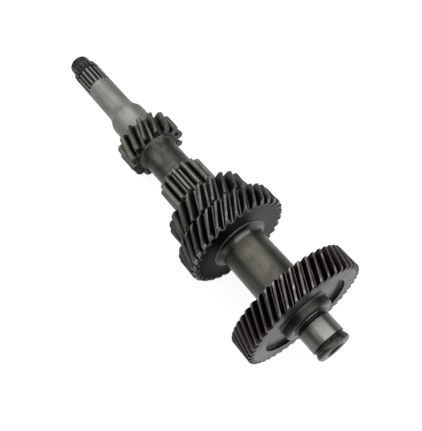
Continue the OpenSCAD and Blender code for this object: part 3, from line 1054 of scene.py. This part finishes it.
# --------------------------------------------------------------------- studio
@dataclass(frozen=True)
class PhotoCamera:
    """The photograph's camera, held against the shaft axis.

    Lengths are in millimetres. The camera stands `distance` from the axis, straight out
    from station `station`, and looks back towards the tip by `lean` degrees.
    """

    station: float = 63.65
    distance: float = 404.0
    lean: float = 25.3625
    round_the_axis: float = -14.07
    twist: float = 48.08
    focal_px: float = 548.734
    centre_px: tuple[float, float] = (213.37, 213.34)

    def place(self) -> bpy.types.Object:
        """Makes the scene's camera.

        Returns:
            The camera object.
        """
        axis = POSE.axis()
        side = Vector((0.0, 1.0, 0.0))
        up = side.cross(axis) * -1.0
        turn = math.radians(self.round_the_axis)
        out = up * math.cos(turn) + side * math.sin(turn)
        across = axis.cross(out)
        lean = math.radians(self.lean)
        look = -(out * math.cos(lean)) - axis * math.sin(lean)
        along = axis * math.cos(lean) - out * math.sin(lean)
        twist = math.radians(self.twist)
        right = along * math.cos(twist) - across * math.sin(twist)
        down = along * math.sin(twist) + across * math.cos(twist)
        columns = (right, -down, -look)
        matrix = Matrix([[c[i] for c in columns] + [0.0] for i in range(3)] + [[0.0, 0.0, 0.0, 1.0]])
        matrix.translation = (axis * self.station + out * self.distance) * MM
        data = bpy.data.cameras.new("photo_camera")
        data.sensor_width = SENSOR_MM
        data.lens = self.focal_px * SENSOR_MM / max(FRAME_PX)
        data.shift_x = (FRAME_PX[0] / 2 - self.centre_px[0]) / max(FRAME_PX)
        data.shift_y = (self.centre_px[1] - FRAME_PX[1] / 2) / max(FRAME_PX)
        data.clip_start = 0.01
        camera = bpy.data.objects.new("photo_camera", data)
        bpy.context.scene.collection.objects.link(camera)
        camera.matrix_world = matrix
        bpy.context.scene.camera = camera
        return camera


@dataclass(frozen=True)
class SoftBox:
    """A soft rectangular lamp: place in metres, size in metres and power in watts."""

    name: str
    place: tuple[float, float, float]
    size: tuple[float, float]
    power: float
    target: tuple[float, float, float] = (-0.14, 0.0, 0.0)

    def hang(self) -> bpy.types.Object:
        """Makes the lamp and turns it to its target."""
        data = bpy.data.lights.new(self.name, "AREA")
        data.shape = "RECTANGLE"
        data.size, data.size_y = self.size
        data.energy = self.power
        lamp = bpy.data.objects.new(self.name, data)
        lamp.location = self.place
        lamp.rotation_euler = (Vector(self.target) - Vector(self.place)).to_track_quat("-Z", "Y").to_euler()
        bpy.context.scene.collection.objects.link(lamp)
        return lamp


@dataclass(frozen=True)
class Studio:
    """White floor, pale world and soft lamps."""

    lamps: tuple[SoftBox, ...] = (
        SoftBox("overhead_softbox", (-0.17, 0.215, 0.85), (1.5, 1.53), 20.0),
        SoftBox("rear_softbox", (-1.45, 0.2, 0.9), (0.9, 1.4), 11.0),
        SoftBox("side_softbox", (-0.84, -0.7, 0.66), (0.95, 0.8), 8.0),
    )
    sky: float = 0.4
    floor_glow: float = 0.88
    floor_shade: float = 0.13

    def build(self) -> None:
        """Lays the floor, colours the world and hangs the lamps."""
        self.lay_floor()
        self.colour_world()
        for lamp in self.lamps:
            lamp.hang()

    def lay_floor(self) -> None:
        """Makes the pale floor under the part's lowest point."""
        bm = bmesh.new()
        bmesh.ops.create_grid(bm, x_segments=1, y_segments=1, size=6.0)
        bmesh.ops.translate(bm, verts=bm.verts, vec=(0, 0, CAD_BOX[0][2]))
        mesh = bpy.data.meshes.new("floor")
        bm.to_mesh(mesh)
        bm.free()
        floor = bpy.data.objects.new("floor", mesh)
        bpy.context.scene.collection.objects.link(floor)
        material = bpy.data.materials.new("pale_floor")
        material.use_nodes = True
        material.node_tree.nodes.clear()
        sheet = NodeSheet(material.node_tree)
        rays = sheet.add("ShaderNodeLightPath")
        seen = sheet.math("MAXIMUM", rays.outputs["Is Camera Ray"], rays.outputs["Is Glossy Ray"])
        seen = sheet.math("MAXIMUM", seen, rays.outputs["Is Transmission Ray"])
        glow = sheet.add("ShaderNodeEmission", {"Strength": sheet.math("MULTIPLY", seen, self.floor_glow)})
        matt = sheet.add("ShaderNodeBsdfDiffuse", {"Color": (*(self.floor_shade,) * 3, 1.0)})
        both = sheet.add("ShaderNodeAddShader", {0: matt.outputs[0], 1: glow.outputs[0]})
        out = sheet.add("ShaderNodeOutputMaterial")
        sheet.feed(out.inputs["Surface"], both.outputs[0])
        mesh.materials.append(material)

    def colour_world(self) -> None:
        """White to the camera, and near the horizon in reflections; grey overhead."""
        world = bpy.data.worlds.new("studio")
        bpy.context.scene.world = world
        world.use_nodes = True
        world.node_tree.nodes.clear()
        sheet = NodeSheet(world.node_tree)
        rays = sheet.add("ShaderNodeLightPath")
        height = sheet.add("ShaderNodeSeparateXYZ", {0: sheet.add("ShaderNodeTexCoord").outputs["Generated"]})
        low = sheet.ramp(height.outputs["Z"], 0.0, 0.12, 1.0, 0.0)
        shown = sheet.math("MAXIMUM", rays.outputs["Is Glossy Ray"], rays.outputs["Is Transmission Ray"])
        white = sheet.math("MAXIMUM", rays.outputs["Is Camera Ray"], sheet.math("MULTIPLY", shown, low))
        strength = sheet.ramp(white, 0.0, 1.0, self.sky, 1.0)
        back = sheet.add("ShaderNodeBackground", {"Color": (1.0, 1.0, 1.0, 1.0), "Strength": strength})
        out = sheet.add("ShaderNodeOutputWorld")
        sheet.feed(out.inputs["Surface"], back.outputs[0])


def main() -> None:
    """Builds the camera, the finishes, the pieces and the studio."""
    logging.basicConfig(level=logging.INFO, format="%(message)s")
    scene = bpy.context.scene
    scene.view_settings.view_transform = "Standard"
    PhotoCamera().place()
    for make in (lathe_grain_group, oil_film_and_side_shade_group, rub_marks_group, edge_highlight_and_wear_group, painted_gap_shade_group):
        make()
    for finish in FINISHES.values():
        finish.material()
    finish_piece(TurnedShaft().mesh(), "turned_shaft")
    for block in gear_blocks():
        finish_piece(block.mesh(), block.name)
    Studio().build()


if __name__ == "__main__":
    main()
